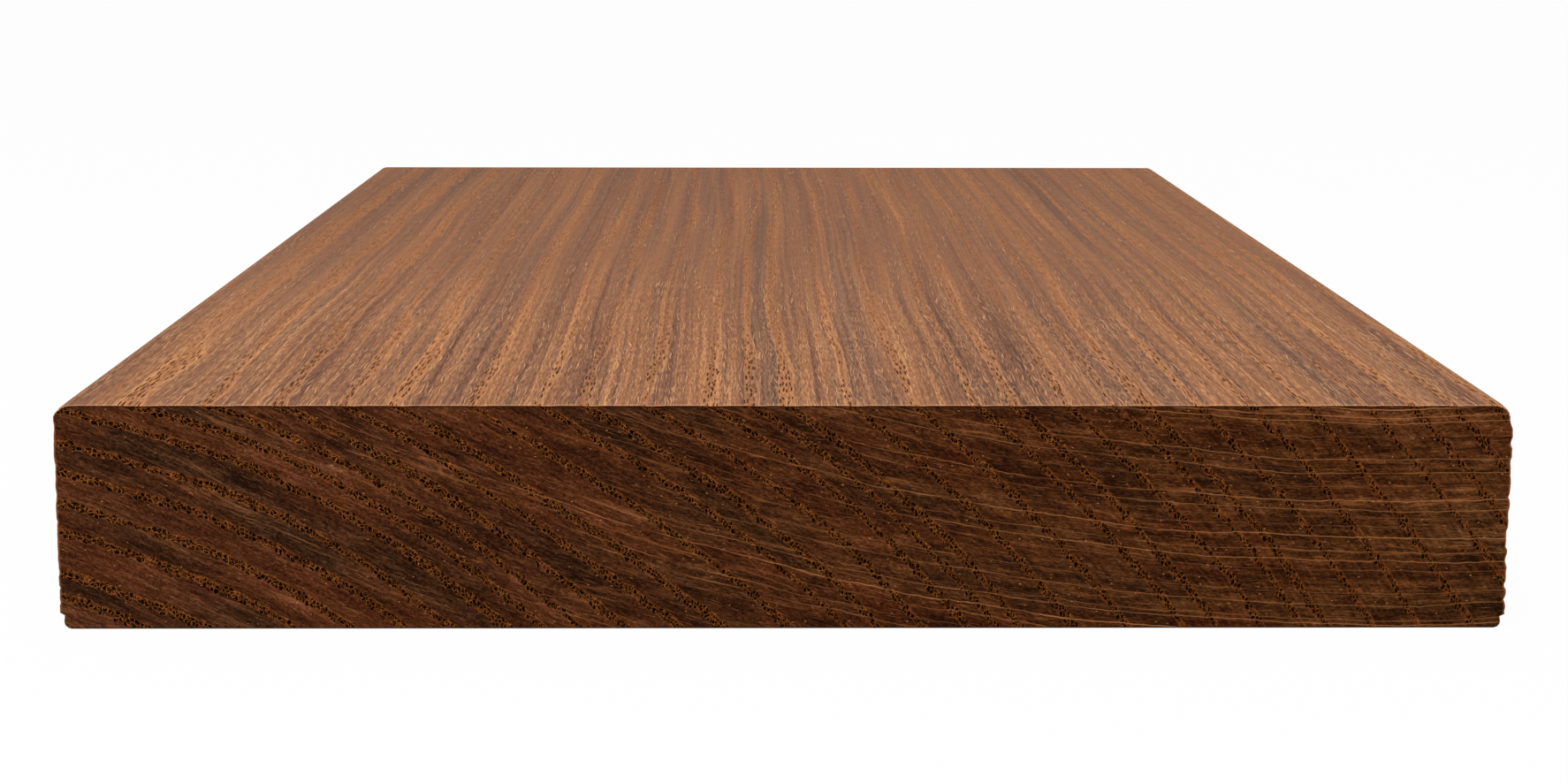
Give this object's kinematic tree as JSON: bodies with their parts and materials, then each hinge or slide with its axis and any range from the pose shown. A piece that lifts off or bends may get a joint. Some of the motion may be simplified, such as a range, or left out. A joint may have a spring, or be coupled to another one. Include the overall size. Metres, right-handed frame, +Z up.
{
  "type": "decking board",
  "caption": "Short flat length of solid dark brown hardwood decking, planed smooth, with eased long edges and square-cut ends.",
  "frame": {"origin": "centre of the underside, where the board rests on its joists", "axes": "+Z up out of the wear face, +Y along the board and the grain, +X across the width"},
  "size_m": [0.14, 0.25, 0.022],
  "materials": {
    "hardwood": "planed, unoiled, satin; ring-porous, dark brown all through"
  },
  "bodies": {
    "root": {"decking_board": "hardwood"}
  },
  "joints": []
}
